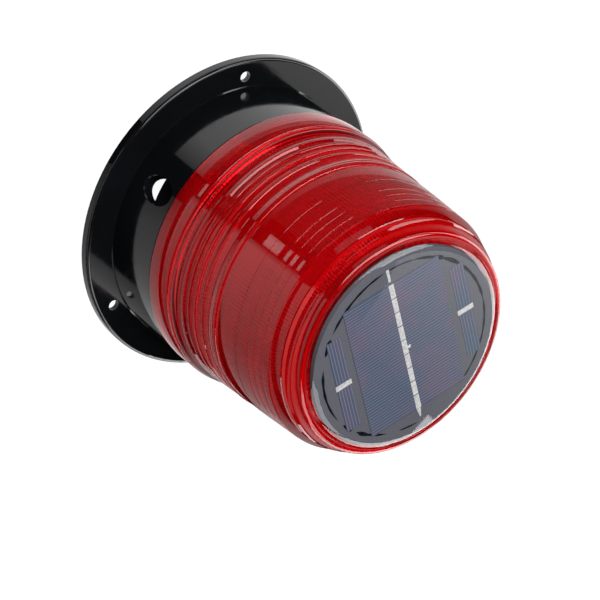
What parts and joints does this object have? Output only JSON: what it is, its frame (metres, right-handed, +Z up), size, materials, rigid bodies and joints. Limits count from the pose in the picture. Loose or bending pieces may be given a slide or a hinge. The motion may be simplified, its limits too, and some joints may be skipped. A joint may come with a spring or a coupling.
{
  "type": "solar warning light",
  "caption": "Solar warning light: black flanged base with a side hole, and a ribbed red lens that unscrews, with a solar panel potted in its top.",
  "frame": {"origin": "centre of the base's mounting plane, under the flange", "axes": "+Z up through the lens to the solar panel; the hole in the base's side faces -Y"},
  "size_m": [0.15, 0.15, 0.1373],
  "materials": {
    "base_plastic": "moulded black, glossy",
    "cup_plastic": "moulded black, satin",
    "inner_plastic": "moulded white, satin",
    "lens_plastic": "clear red, glossy",
    "steel": "zinc plated",
    "nickel": "nickel strip",
    "cell_jacket": "shrink sleeve",
    "foam": "closed cell foam",
    "board_laminate": "glass laminate with mask",
    "board_chip": "moulded components",
    "lamp": "cast lamp body, clear red",
    "rubber_seal": "moulded rubber",
    "button_plastic": "moulded black",
    "wire_red": "insulation",
    "panel_laminate": "laminate, dark grey face",
    "silicon": "solar cell, dark blue",
    "silver": "tinned ribbon",
    "resin": "clear potting, glossy"
  },
  "bodies": {
    "base": {"base_shell": "base_plastic", "inner_cup": "cup_plastic", "cup_screws": "steel", "battery_cells": "cell_jacket", "battery_tray": "inner_plastic", "cell_links": "nickel", "foam_pad": "foam", "control_board": "board_laminate", "board_screws": "steel", "board_parts": "board_chip", "lead_socket": "inner_plastic", "led_tower": "inner_plastic", "tower_screws": "steel", "led_board": "board_laminate", "led_board_screws": "steel", "leds": "lamp", "switch_body": "button_plastic", "switch_nut": "steel", "switch_spring": "steel", "panel_leads": "wire_red", "lamp_leads": "wire_red", "battery_leads": "wire_red", "switch_leads": "wire_red"},
    "seal": {"lens_gasket": "rubber_seal"},
    "head": {"lens": "lens_plastic", "panel_seal": "rubber_seal", "panel_board": "panel_laminate", "centre_cell": "silicon", "left_cell": "silicon", "right_cell": "silicon", "cell_ribbons": "silver", "panel_resin": "resin"},
    "button": {"switch_button": "button_plastic"}
  },
  "joints": [
    {"name": "head_lift", "type": "slide", "parent": "base", "child": "seal", "axis": [0, 0, 1], "range_m": [0, 0.0121], "deforming": ["panel_leads"]},
    {"name": "head_turn", "type": "hinge", "parent": "seal", "child": "head", "pos_m": [0, 0, 0], "axis": [0, 0, 1], "range_deg": [0, 900]},
    {"name": "switch_push", "type": "slide", "parent": "base", "child": "button", "axis": [0, 0, 1], "range_m": [0, 0.002], "stiffness_N_per_m": 600, "springref_m": -0.002, "deforming": ["switch_spring"]}
  ],
  "couplings": [
    {"joint": "head_lift", "follows": "head_turn", "m_per_rad": 0.00076394}
  ]
}
